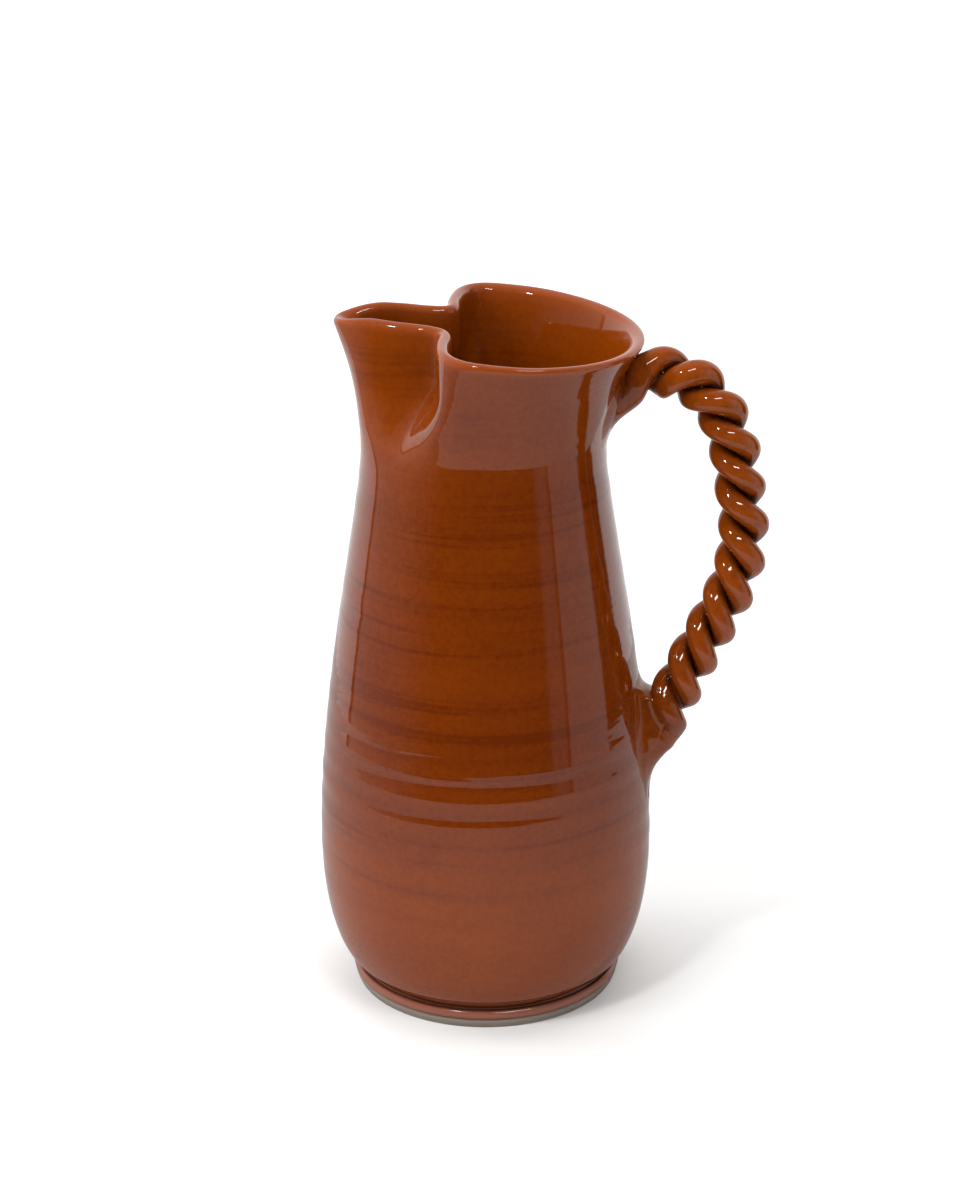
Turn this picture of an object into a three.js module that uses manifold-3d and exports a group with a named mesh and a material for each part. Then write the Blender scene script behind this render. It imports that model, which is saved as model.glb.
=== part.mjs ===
// Wheel-thrown ceramic pitcher with a pinched spout and a handle twisted from two clay strands.
// Millimetres, +Z up. The spout points to -X and the handle to +X; the origin is at the centre of the
// bounding box in X and Y, on the surface that the pitcher stands on.
import * as THREE from "three";
import { mergeVertices } from "three/addons/utils/BufferGeometryUtils.js";
import Module from "manifold-3d";

const wasm = await Module();
wasm.setup();

// Fits
const contactGap = 0.3; // between any two pieces that touch

// Foot ring
const footRadius = 57.4; // outer edge of the flat standing face
const footInnerRadius = 46.5;
const footHeight = 9.5;
const beadRise = 1.5; // how far the rounded bead stands out past the standing face
const beadTurn = 1.1; // small rounds at the top of the inner wall

// Thrown wall: outer profile
const grooveRadius = 56.8; // where the wall starts, just above the foot ring
const bellyRadius = 72.1;
const bellyHeight = 66;
const bellyPull = 71; // how long the wall stays full above the belly
const neckRadius = 51.2;
const rimHeight = 298; // top of the lip over the axis
const neckHeight = rimHeight - 50;
const neckPull = 27;
const wallThickness = 4.6;
const lipThickness = 5.6;
const floorThickness = 7;
const floorRound = 16; // inside radius between floor and wall

// Mouth, seen from above
const lobeReach = neckRadius + 14.2; // axis to the middle of the lip on the handle side
const lobeHalfWidth = neckRadius + 10.3;
const spoutReach = neckRadius + 9.3; // axis to the tip of the spout
const spoutHalfWidth = 14.5;
const pinchHalfGap = 19.5; // half the gap between the two folds
const pinchSetback = 14.5; // the folds' distance from the axis, towards the spout
const mouthSkew = 0.075; // the hand-made mouth leans sideways by this share of its half width
const mouthStart = rimHeight - 62; // height where the round neck starts to flare
const pinchStart = rimHeight - 62; // height where the folds start
const pinchFull = rimHeight - 17; // height from which the folds are at their full depth
const spoutRise = 4.4; // how much higher the lip is at the spout than over the axis
const tipDrop = 4.2; // how far the very tip dips below the sides of the spout

// Handle
const handleReach = neckRadius + 58.3; // axis to the centre line of the rope at its widest
const handleTop = rimHeight - 19;
const upperJoinHeight = rimHeight - 31;
const lowerJoinHeight = 112;
const strandRadius = 6.2;
const strandOffset = 4.6; // centre line of the rope to the centre of a strand
const strandLead = 32.6; // length of one full turn
const strandSpread = 1.12; // a strand's width across the rope, as a share of its thickness
const strandOpening = 0.08; // slope at which the pressed faces open towards their edges
const strandPhase = 0.215; // turns at the upper end
const upperRopeEnd = 0.11; // share of the centre line that the upper root covers
const lowerRopeEnd = 0.9; // share where the lower root starts
const rootDown = 21; // how far the upper root reaches below its join with the neck
const rootUp = 15; // and above it
const rootHalfWidth = 17;
const tailLength = 24; // the lower root's smeared tail, below the lower join

const glazeBody = { color: 0x8a4a22, roughness: 0.16, metalness: 0 };
const glazeFoot = { color: 0x7d4530, roughness: 0.24, metalness: 0 };
const glazeStrand = { color: 0x7e3f1c, roughness: 0.14, metalness: 0 };
const glazeRoot = { color: 0x75391a, roughness: 0.15, metalness: 0 };

const wallBase = footHeight + contactGap;
const ropeRadius = strandRadius + strandOffset;

// Outer radius of the thrown wall before the mouth is shaped: two Bezier arcs that meet at the belly.
const lowerWall = new THREE.CubicBezierCurve(
  new THREE.Vector2(grooveRadius, wallBase),
  new THREE.Vector2(grooveRadius + (bellyRadius - grooveRadius) * 0.63, wallBase + 5.2),
  new THREE.Vector2(bellyRadius, wallBase + (bellyHeight - wallBase) * 0.5),
  new THREE.Vector2(bellyRadius, bellyHeight),
);
const upperWall = new THREE.CubicBezierCurve(
  new THREE.Vector2(bellyRadius, bellyHeight),
  new THREE.Vector2(bellyRadius, bellyHeight + bellyPull),
  new THREE.Vector2(neckRadius, neckHeight - neckPull),
  new THREE.Vector2(neckRadius, neckHeight),
);

// The wall's outer radius at a height, found on the two arcs by halving.
function outerRadiusAt(height) {
  if (height >= neckHeight) return neckRadius;
  const arc = height < bellyHeight ? lowerWall : upperWall;
  let low = 0;
  let high = 1;
  for (let i = 0; i < 30; i++) {
    const middle = (low + high) / 2;
    if (arc.getPoint(middle).y < height) low = middle;
    else high = middle;
  }
  return arc.getPoint(low).x;
}

// Half of the mouth's middle line, from the handle side round to the tip of the spout. Each station
// gives the angle that it comes from on the round neck, where it goes at the lip, and how far it
// belongs to a fold (1) rather than to the flare (0).
const spoutLength = spoutReach - pinchSetback;
const half = [
  [0, lobeReach, 0, 0],
  [22, lobeReach * 0.92, lobeHalfWidth * 0.42, 0],
  [44, lobeReach * 0.7, lobeHalfWidth * 0.755, 0],
  [66, lobeReach * 0.38, lobeHalfWidth * 0.965, 0],
  [86, lobeReach * 0.08, lobeHalfWidth, 0.05],
  [101, -pinchSetback * 0.4, lobeHalfWidth * 0.95, 0.4],
  [112, -pinchSetback * 0.84, lobeHalfWidth * 0.8, 0.9],
  [121, -pinchSetback * 0.98, lobeHalfWidth * 0.56, 1],
  [129, -pinchSetback, pinchHalfGap, 1],
  [138, -pinchSetback - spoutLength * 0.18, spoutHalfWidth + 0.6, 1],
  [149, -pinchSetback - spoutLength * 0.46, spoutHalfWidth, 0.7],
  [161, -pinchSetback - spoutLength * 0.76, spoutHalfWidth * 0.78, 0.25],
  [172, -pinchSetback - spoutLength * 0.95, spoutHalfWidth * 0.4, 0],
  [180, -spoutReach, 0, 0],
];
const mirrored = half
  .slice(1, -1)
  .reverse()
  .map(([angle, x, y, fold]) => [360 - angle, x, -y, fold]);
const stations = [...half, ...mirrored];
// The line's third coordinate carries the fold's share.
const mouthLine = new THREE.CatmullRomCurve3(
  stations.map(([, x, y, fold]) => new THREE.Vector3(x - mouthSkew * y, y, fold)),
  true,
);
const neckLine = new THREE.CatmullRomCurve3(
  stations.map(([angle]) => {
    const turn = THREE.MathUtils.degToRad(angle);
    return new THREE.Vector3(Math.cos(turn), Math.sin(turn), 0);
  }),
  true,
);
const stationSteps = 88; // steps round the body
const stepsPerTurn = 23.6; // steps along a strand, for each full turn

const smooth = (x) => x * x * (3 - 2 * x);
const clamp = THREE.MathUtils.clamp;

// How far the mouth is flared, and how far its folds are pressed in, at a height: 0 on the round
// neck, 1 at the lip.
const mouthShare = (height) => clamp((height - mouthStart) / (rimHeight - mouthStart), 0, 1);
const pinchShare = (height) => smooth(clamp((height - pinchStart) / (pinchFull - pinchStart), 0, 1)) ** 1.6;

// The wall's middle line in plan at one height: the round neck, blended towards the mouth.
function planPoint(turn, height, radius) {
  const round = neckLine.getPoint(turn % 1).normalize().multiplyScalar(radius);
  const share = mouthShare(height);
  if (share === 0) return round;
  const mouth = mouthLine.getPoint(turn % 1);
  const pressed = THREE.MathUtils.lerp(share ** 2.1, pinchShare(height), clamp(mouth.z, 0, 1));
  const neckMiddle = neckRadius - wallThickness / 2;
  const start = round.clone().normalize().multiplyScalar(neckMiddle);
  mouth.z = 0;
  return round.add(mouth.sub(start).multiplyScalar(pressed));
}

// A point of the wall: the middle line moved along its own normal, so the thickness stays the same.
function wallPoint(turn, height, middleRadius, offset) {
  const point = planPoint(turn, height, middleRadius);
  const step = 0.002;
  const ahead = planPoint(turn + step, height, middleRadius);
  const behind = planPoint(turn + 1 - step, height, middleRadius);
  const along = ahead.sub(behind).normalize();
  point.x += along.y * offset;
  point.y -= along.x * offset;
  const share = mouthShare(height) ** 2;
  const toTip = clamp(1 - Math.hypot(point.x + spoutReach, point.y) / (spoutHalfWidth * 1.6), 0, 1);
  const lift = (-point.x / spoutReach) * spoutRise - tipDrop * smooth(toTip);
  return new THREE.Vector3(point.x, point.y, height + lift * share);
}

// Turns a geometry into a plain closed surface with shared corners.
function closed(geometry) {
  geometry.deleteAttribute("normal");
  geometry.deleteAttribute("uv");
  const merged = mergeVertices(geometry, 1e-4);
  merged.computeVertexNormals();
  return merged;
}

function toSolid(geometry) {
  return new wasm.Manifold(
    new wasm.Mesh({
      numProp: 3,
      vertProperties: geometry.attributes.position.array,
      triVerts: new Uint32Array(geometry.index.array),
    }),
  );
}

function toGeometry(solid) {
  const mesh = solid.getMesh();
  const geometry = new THREE.BufferGeometry();
  geometry.setAttribute("position", new THREE.BufferAttribute(mesh.vertProperties, 3));
  geometry.setIndex(new THREE.BufferAttribute(mesh.triVerts, 1));
  geometry.computeVertexNormals();
  return geometry;
}

function piece(name, geometry, look) {
  const mesh = new THREE.Mesh(geometry, new THREE.MeshStandardMaterial(look));
  mesh.name = name;
  return mesh;
}

// A lathe whose points carry the wall's middle radius, an offset from it and a height, so that the
// mouth can be shaped without changing the wall's thickness.
function shapedLathe(profile, steps) {
  const flat = profile.map((p) => new THREE.Vector2(p.middle + p.offset, p.height));
  const lathe = new THREE.LatheGeometry(flat, steps);
  const position = lathe.attributes.position;
  for (let i = 0; i <= steps; i++) {
    profile.forEach((p, j) => {
      const turn = (i % steps) / steps;
      const onAxis = p.middle + p.offset === 0;
      const place = onAxis
        ? new THREE.Vector3(0, 0, p.height)
        : wallPoint(turn, p.height, p.middle, p.offset);
      position.setXYZ(i * profile.length + j, place.x, place.y, place.z);
    });
  }
  return closed(lathe);
}

// Heights where the wall has a ring of points: close together where it bends.
const wallHeights = [
  ...[0.06, 0.16, 0.28, 0.42, 0.58, 0.78].map((t) => lowerWall.getPoint(t).y),
  ...[0, 0.14, 0.28, 0.42, 0.56, 0.7, 0.84].map((t) => upperWall.getPoint(t).y),
  ...[0, 0.14, 0.3, 0.46, 0.6, 0.73, 0.85, 0.94].map(
    (t) => mouthStart + (rimHeight - lipThickness / 2 - mouthStart) * t,
  ),
];

// The lip is half a circle, a little thicker than the wall below it.
const lipSteps = 6;
const lipRound = Array.from({ length: lipSteps + 1 }, (_, i) => {
  const angle = (Math.PI * i) / lipSteps;
  return {
    middle: neckRadius - wallThickness / 2,
    offset: (Math.cos(angle) * lipThickness) / 2,
    height: rimHeight - lipThickness / 2 + (Math.sin(angle) * lipThickness) / 2,
  };
});

function wallSide(side, grow) {
  return wallHeights.map((height) => {
    const outer = outerRadiusAt(height);
    const nearLip = smooth(clamp((height - rimHeight + 22) / 20, 0, 1));
    const thickness = wallThickness + (lipThickness - wallThickness) * nearLip;
    return {
      middle: outer - wallThickness / 2,
      offset: side * (thickness / 2) + grow,
      height,
    };
  });
}

function bodyProfile() {
  const floorTop = wallBase + floorThickness;
  const inner = wallSide(-1, 0)
    .filter((p) => p.height > floorTop + floorRound)
    .reverse();
  const lowest = inner[inner.length - 1];
  const wallInside = lowest.middle + lowest.offset;
  const corner = [0.25, 0.5, 0.75, 1].map((t) => ({
    middle: wallInside - floorRound * (1 - Math.cos((t * Math.PI) / 2)) - 1.5 * t,
    offset: 0,
    height: lowest.height - (lowest.height - floorTop) * Math.sin((t * Math.PI) / 2),
  }));
  return [
    { middle: 0, offset: 0, height: wallBase },
    { middle: grooveRadius, offset: 0, height: wallBase },
    ...wallSide(1, 0),
    ...lipRound,
    ...inner,
    ...corner,
    { middle: 0, offset: 0, height: floorTop },
  ];
}

// The filled outside of the wall, grown by the contact gap: roots are cut with it.
function wallCutter() {
  const top = rimHeight - lipThickness / 2;
  const middle = neckRadius - wallThickness / 2;
  const offset = lipThickness / 2 + contactGap;
  return toSolid(
    shapedLathe(
      [
        { middle: 0, offset: 0, height: wallBase },
        { middle: grooveRadius + contactGap, offset: 0, height: wallBase },
        ...wallSide(1, contactGap),
        { middle, offset, height: top },
        { middle, offset: 0, height: rimHeight + contactGap },
        { middle: 0, offset: 0, height: rimHeight + contactGap },
      ],
      stationSteps,
    ),
  );
}

function footRing() {
  const bead = footRadius + beadRise;
  const outline = [
    [footInnerRadius, 0],
    [footRadius, 0],
    [bead, footHeight * 0.4],
    [bead + 0.25, footHeight * 0.55],
    [bead - 0.1, footHeight * 0.72],
    [bead - 0.9, footHeight * 0.88],
    [grooveRadius, footHeight],
    [footInnerRadius + beadTurn, footHeight],
    [footInnerRadius, footHeight - beadTurn],
    [footInnerRadius, 0],
  ];
  const ring = new THREE.LatheGeometry(
    outline.map(([radius, height]) => new THREE.Vector2(radius, height)),
    72,
  );
  ring.rotateX(Math.PI / 2);
  return closed(ring);
}

// Centre line of the handle: out from the neck, over the crown, down and back to the belly.
const lowerJoinRadius = outerRadiusAt(lowerJoinHeight);
const fromNeck = (share, height) =>
  new THREE.Vector3(neckRadius + (handleReach - neckRadius) * share, 0, height);
const fromBelly = (share, drop) =>
  new THREE.Vector3(
    lowerJoinRadius + (handleReach - lowerJoinRadius) * share,
    0,
    lowerJoinHeight + (handleTop - lowerJoinHeight) * drop,
  );
const handleLine = new THREE.CatmullRomCurve3([
  fromNeck(0, upperJoinHeight),
  fromNeck(0.18, handleTop - 4),
  fromNeck(0.39, handleTop),
  fromNeck(0.6, handleTop - 2.8),
  fromBelly(0.7, 0.916),
  fromBelly(0.875, 0.814),
  fromBelly(0.96, 0.695),
  fromBelly(1, 0.575),
  fromBelly(0.905, 0.455),
  fromBelly(0.69, 0.335),
  fromBelly(0.44, 0.215),
  fromBelly(0.25, 0.108),
  fromBelly(0.075, 0),
]);
handleLine.arcLengthDivisions = 400;
const handleLength = handleLine.getLength();

// The frame of the centre line at a share of its length: place, direction and the in-plane normal.
function handleFrame(share) {
  const place = handleLine.getPointAt(clamp(share, 0, 1));
  const along = handleLine.getTangentAt(clamp(share, 0, 1));
  const side = new THREE.Vector3(0, 1, 0);
  const outward = new THREE.Vector3().crossVectors(along, side).normalize();
  return { place, along, side, outward };
}

// Bends a closed cylinder: each corner is given by its angle, its share of the radius and its share
// of the length.
function bentCylinder(around, lengthwise, bend) {
  const cylinder = new THREE.CylinderGeometry(1, 1, 1, around, lengthwise);
  const position = cylinder.attributes.position;
  for (let i = 0; i < position.count; i++) {
    const x = position.getX(i);
    const z = position.getZ(i);
    const radial = Math.hypot(x, z) < 0.5 ? 0 : 1;
    const place = bend(Math.atan2(x, z), radial, 0.5 - position.getY(i));
    position.setXYZ(i, place.x, place.y, place.z);
  }
  return closed(cylinder);
}

// One strand: a round section pressed flat against its twin and carried round the centre line.
function strand(startTurn) {
  const gapShare = contactGap / handleLength;
  const from = upperRopeEnd + gapShare;
  const to = lowerRopeEnd - gapShare;
  const steps = Math.ceil((stepsPerTurn * (to - from) * handleLength) / strandLead);
  return bentCylinder(12, steps, (angle, radial, share) => {
    const at = from + (to - from) * share;
    const { place, side, outward } = handleFrame(at);
    const turn = 2 * Math.PI * (startTurn + (at * handleLength) / strandLead);
    const beside = radial * strandRadius * strandSpread * Math.sin(angle);
    const pressed = contactGap / 2 + strandOpening * Math.abs(beside);
    const across = Math.max(strandOffset + radial * strandRadius * Math.cos(angle), pressed);
    return place
      .addScaledVector(outward, across * Math.cos(turn) - beside * Math.sin(turn))
      .addScaledVector(side, across * Math.sin(turn) + beside * Math.cos(turn));
  });
}

// The clay that joins the rope to the neck: a wide upright patch on the wall that narrows to the
// rope's round end.
function upperRoot(cutter) {
  const insideWall = new THREE.Vector3(neckRadius - wallThickness, 0, upperJoinHeight);
  const end = handleFrame(upperRopeEnd);
  const up = new THREE.Vector3(0, 0, 1);
  const blank = bentCylinder(24, 10, (angle, radial, share) => {
    const toRope = smooth(share);
    const narrow = 1 - (1 - share) ** 2.6;
    const place = insideWall.clone().lerp(end.place, share);
    const outward = up.clone().lerp(end.outward, toRope).normalize();
    const reach = Math.cos(angle) < 0 ? rootDown : rootUp;
    const tall = THREE.MathUtils.lerp(reach, ropeRadius * 0.96, narrow);
    const wide = THREE.MathUtils.lerp(rootHalfWidth, ropeRadius * 0.96, narrow);
    return place
      .addScaledVector(outward, radial * tall * Math.cos(angle))
      .addScaledVector(end.side, radial * wide * Math.sin(angle));
  });
  return toGeometry(toSolid(blank).subtract(cutter));
}

// The clay that joins the rope to the belly: it thins into a tail smeared down the wall.
function lowerRoot(cutter) {
  const start = handleFrame(lowerRopeEnd);
  const tailFoot = lowerJoinHeight - tailLength;
  const tail = new THREE.CatmullRomCurve3([
    start.place,
    handleFrame(0.95).place,
    handleFrame(1).place,
    new THREE.Vector3(outerRadiusAt(tailFoot), 0, tailFoot),
  ]);
  const blank = bentCylinder(20, 14, (angle, radial, share) => {
    const place = tail.getPointAt(share);
    const along = tail.getTangentAt(share);
    const side = new THREE.Vector3(0, 1, 0);
    const outward = new THREE.Vector3().crossVectors(along, side).normalize();
    const thin = ropeRadius * 0.94 * (1 - share) ** 0.95 + 0.8;
    const wide = ropeRadius * (0.96 + 0.25 * Math.sin(Math.PI * share)) * (1 - 0.5 * share ** 3);
    const inner = Math.cos(angle) < 0 ? thin * (1 + 0.35 * Math.sin(Math.PI * share)) : thin;
    return place
      .addScaledVector(outward, radial * inner * Math.cos(angle))
      .addScaledVector(side, radial * wide * Math.sin(angle));
  });
  return toGeometry(toSolid(blank).subtract(cutter));
}

const cutter = wallCutter();
const pitcher = new THREE.Group();
pitcher.add(
  piece("body", shapedLathe(bodyProfile(), stationSteps), glazeBody),
  piece("foot_ring", footRing(), glazeFoot),
  piece("handle_strand_a", strand(strandPhase), glazeStrand),
  piece("handle_strand_b", strand(strandPhase + 0.5), glazeStrand),
  piece("upper_root", upperRoot(cutter), glazeRoot),
  piece("lower_root", lowerRoot(cutter), glazeRoot),
);

const box = new THREE.Box3().setFromObject(pitcher);
const centre = box.getCenter(new THREE.Vector3());
pitcher.position.set(-centre.x, -centre.y, -box.min.z);

export default pitcher;
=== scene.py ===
import math

import bpy
import numpy as np
from mathutils import Matrix, Vector


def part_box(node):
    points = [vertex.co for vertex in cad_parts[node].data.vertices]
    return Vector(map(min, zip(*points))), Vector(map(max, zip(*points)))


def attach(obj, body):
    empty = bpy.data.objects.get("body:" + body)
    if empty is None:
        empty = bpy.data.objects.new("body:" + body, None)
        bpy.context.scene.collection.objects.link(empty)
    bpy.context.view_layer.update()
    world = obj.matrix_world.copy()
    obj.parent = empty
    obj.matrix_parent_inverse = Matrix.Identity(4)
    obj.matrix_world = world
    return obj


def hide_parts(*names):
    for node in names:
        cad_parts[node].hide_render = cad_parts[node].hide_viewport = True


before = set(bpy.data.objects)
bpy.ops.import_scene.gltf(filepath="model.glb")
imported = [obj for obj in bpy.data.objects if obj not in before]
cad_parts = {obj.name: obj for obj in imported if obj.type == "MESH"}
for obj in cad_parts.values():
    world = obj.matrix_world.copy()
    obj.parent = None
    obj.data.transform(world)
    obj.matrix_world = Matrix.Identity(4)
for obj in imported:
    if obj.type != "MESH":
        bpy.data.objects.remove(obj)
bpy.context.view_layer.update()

print("frame loaded:", len(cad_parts), "nodes")

# The body's axis stands over the middle of the foot; every height starts at the standing face.
footLow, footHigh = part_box("foot_ring")
axisX = (footLow[0] + footHigh[0]) / 2
axisY = (footLow[1] + footHigh[1]) / 2
millimetre = 0.001


def smoothStep(x, low=0.0, high=1.0):
    # 0 below low, 1 above high, and 3t^2 - 2t^3 between them
    t = np.clip((np.asarray(x, float) - low) / (high - low), 0, 1)
    return t * t * (3 - 2 * t)


def bezier(points, t):
    # cubic Bezier: the four corners weighted by (1-t)^3, 3t(1-t)^2, 3t^2(1-t) and t^3
    p = np.asarray(points, float)
    t = np.asarray(t, float)[:, None]
    start = (1 - t) ** 3 * p[0] + 3 * t * (1 - t) ** 2 * p[1]
    return start + 3 * t * t * (1 - t) * p[2] + t**3 * p[3]


def catmullRom(points, u, closed):
    # each span between two points is the cubic whose end slopes are half the chord between the
    # points on either side
    p = np.asarray(points, float)
    n = len(p)
    k = np.floor(u).astype(int)
    if closed:
        a, b, c, d = (p[(k + i) % n] for i in (-1, 0, 1, 2))
    else:
        k = np.clip(k, 0, n - 2)
        ends = np.vstack([2 * p[0] - p[1], p, 2 * p[-1] - p[-2]])
        a, b, c, d = (ends[k + i] for i in (0, 1, 2, 3))
    f = (u - k)[:, None]
    slope, bend, twist = c - a, 2 * a - 5 * b + 4 * c - d, 3 * b - a - 3 * c + d
    return 0.5 * (2 * b + slope * f + bend * f**2 + twist * f**3)


def roundOff(values, width):
    # moving average with a bell-shaped weight, so that joined arcs share one curvature
    reach = int(3 * width)
    bell = np.exp(-0.5 * (np.arange(-reach, reach + 1) / width) ** 2)
    bell /= bell.sum()
    padded = np.pad(values, ((reach, reach), (0, 0)), mode="reflect", reflect_type="odd")
    return np.stack([np.convolve(padded[:, i], bell, "valid") for i in range(values.shape[1])], 1)


def roundOffClosed(values, harmonics):
    # a closed line with each of its waves weakened by a bell-shaped weight: slow ones stay, fast ones go
    spectrum = np.fft.rfft(values, axis=0)
    order = np.arange(len(spectrum))[:, None]
    return np.fft.irfft(spectrum * np.exp(-0.5 * (order / harmonics) ** 2), len(values), axis=0)


def lengthsAlong(line):
    # distance travelled along a line of points
    return np.r_[0, np.cumsum(np.linalg.norm(np.diff(line, axis=0), axis=1))]


def along(line, lengths, wanted):
    # points of a line at the wanted distances, on the straight piece between two of its points
    return np.stack([np.interp(wanted, lengths, line[:, i]) for i in range(line.shape[1])], 1)


def gridMesh(name, grid, closeRows=False, startPole=False, endPole=False):
    # rows x columns of points, each four neighbours one face, closed round the columns; a pole is the
    # mean of the first or last row, joined to it by a fan
    rows, columns = grid.shape[:2]
    vertices = grid.reshape(-1, 3)
    r = np.arange(rows if closeRows else rows - 1)[:, None]
    c = np.arange(columns)[None, :]
    nextRow = (r + 1) % rows
    nextColumn = (c + 1) % columns
    quads = np.stack(
        [r * columns + c, r * columns + nextColumn, nextRow * columns + nextColumn, nextRow * columns + c], -1
    ).reshape(-1, 4)
    fans = []
    ring = np.arange(columns)
    if startPole:
        vertices = np.vstack([vertices, grid[0].mean(0)])
        pole = np.full(columns, len(vertices) - 1)
        fans.append(np.stack([pole, np.roll(ring, -1), ring], 1))
    if endPole:
        vertices = np.vstack([vertices, grid[-1].mean(0)])
        pole = np.full(columns, len(vertices) - 1)
        last = ring + (rows - 1) * columns
        fans.append(np.stack([pole, last, np.roll(last, -1)], 1))
    triangles = np.vstack(fans) if fans else np.zeros((0, 3), int)
    loops = np.concatenate([quads.ravel(), triangles.ravel()]).astype(np.int32)
    sizes = np.concatenate([np.full(len(quads), 4), np.full(len(triangles), 3)]).astype(np.int32)
    starts = np.concatenate([[0], np.cumsum(sizes)[:-1]]).astype(np.int32)
    mesh = bpy.data.meshes.new(name)
    mesh.vertices.add(len(vertices))
    mesh.vertices.foreach_set("co", vertices.astype(np.float32).ravel())
    mesh.loops.add(len(loops))
    mesh.loops.foreach_set("vertex_index", loops)
    mesh.polygons.add(len(sizes))
    mesh.polygons.foreach_set("loop_start", starts)
    mesh.polygons.foreach_set("use_smooth", np.ones(len(sizes), bool))
    mesh.update(calc_edges=True)
    mesh.validate()
    piece = bpy.data.objects.new(name, mesh)
    bpy.context.collection.objects.link(piece)
    return piece


def glazeMasks(piece, shape, thin=0.0, pool=0.0, paintedsheen=0.0):
    # three numbers per point of the grid, which the glaze reads: how far it ran off, how much it gathered
    # along with painted shade, and how much painted grey reflection of the pale table it carries; a pole gets
    # 0
    for key, values in (("thin", thin), ("pool", pool), ("paintedsheen", paintedsheen)):
        padded = np.zeros(len(piece.data.vertices), np.float32)
        padded[: shape[0] * shape[1]] = np.broadcast_to(values, shape).ravel()
        piece.data.attributes.new(key, "FLOAT", "POINT").data.foreach_set("value", padded)


def finishPiece(piece, slotName, material, *nodes):
    # gives the piece its glaze and sets it in place of the plain solid
    piece.data.materials.append(material)
    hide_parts(*nodes)
    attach(piece, "root")


def link(tree, source, target):
    # joins an output to an input, or sets the input when the source is a plain value
    if isinstance(source, bpy.types.NodeSocket):
        tree.links.new(source, target)
    else:
        target.default_value = source


def addNode(tree, kind, place, **values):
    # a node at its place in the editor, with its own settings
    node = tree.nodes.new(kind)
    node.location = place
    for key, value in values.items():
        setattr(node, key, value)
    return node


def mixColour(tree, place, factor, first, second):
    # first where the factor is 0, second where it is 1
    node = addNode(tree, "ShaderNodeMix", place, data_type="RGBA")
    for socket, value in ((node.inputs[0], factor), (node.inputs[6], first), (node.inputs[7], second)):
        link(tree, value, socket)
    return node.outputs[2]


def maths(tree, place, operation, first, second=0.0, clamp=False):
    # one sum of two sockets or plain values
    node = addNode(tree, "ShaderNodeMath", place, operation=operation, use_clamp=clamp)
    link(tree, first, node.inputs[0])
    link(tree, second, node.inputs[1])
    return node.outputs[0]


def stretch(tree, place, value, low, high, toLow=0.0, toHigh=1.0):
    # maps low..high onto toLow..toHigh, held at both ends
    node = addNode(tree, "ShaderNodeMapRange", place)
    link(tree, value, node.inputs[0])
    for socket, number in zip(node.inputs[1:5], (low, high, toLow, toHigh)):
        socket.default_value = number
    return node.outputs[0]


def noise(tree, place, vector, waves, detail, roughness):
    # noise with about this many waves in a metre along each axis
    mapping = addNode(tree, "ShaderNodeMapping", place)
    mapping.inputs["Scale"].default_value = waves
    link(tree, vector, mapping.inputs["Vector"])
    texture = addNode(tree, "ShaderNodeTexNoise", (place[0] + 200, place[1]))
    texture.inputs["Scale"].default_value = 1.0
    texture.inputs["Detail"].default_value = detail
    texture.inputs["Roughness"].default_value = roughness
    link(tree, mapping.outputs[0], texture.inputs["Vector"])
    return texture.outputs["Fac"]


glazeLook = {
    "bandWaves": (6, 6, 260),  # waves in a metre each way: long sideways, fine in height
    "zoneWaves": (5, 5, 26),
    "cloudWaves": (24, 24, 24),
    "mottleWaves": (420, 420, 420),
    "grainWaves": (1500, 1500, 1500),
    "bandShare": 0.62,
    "speckShare": 0.28,
    "speckColour": (0.05, 0.012, 0.003, 1),
    # grey painted on the foot's chamfer and bead as the pale table's reflection, with a rougher glaze there
    "paintedSheenColour": (0.215, 0.175, 0.145, 1),
    "roughness": (0.03, 0.06),  # least and most
    "thinRoughness": 0.04,
    "paintedSheenRoughness": 0.4,
    "lineSpacing": 0.0036,
    "lineWander": 14.0,
    "lineHeight": 0.42,  # the heights are shares of a finish's bump depth
    "skinHeight": 3.0,
    "mottleHeight": 0.12,
}


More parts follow.
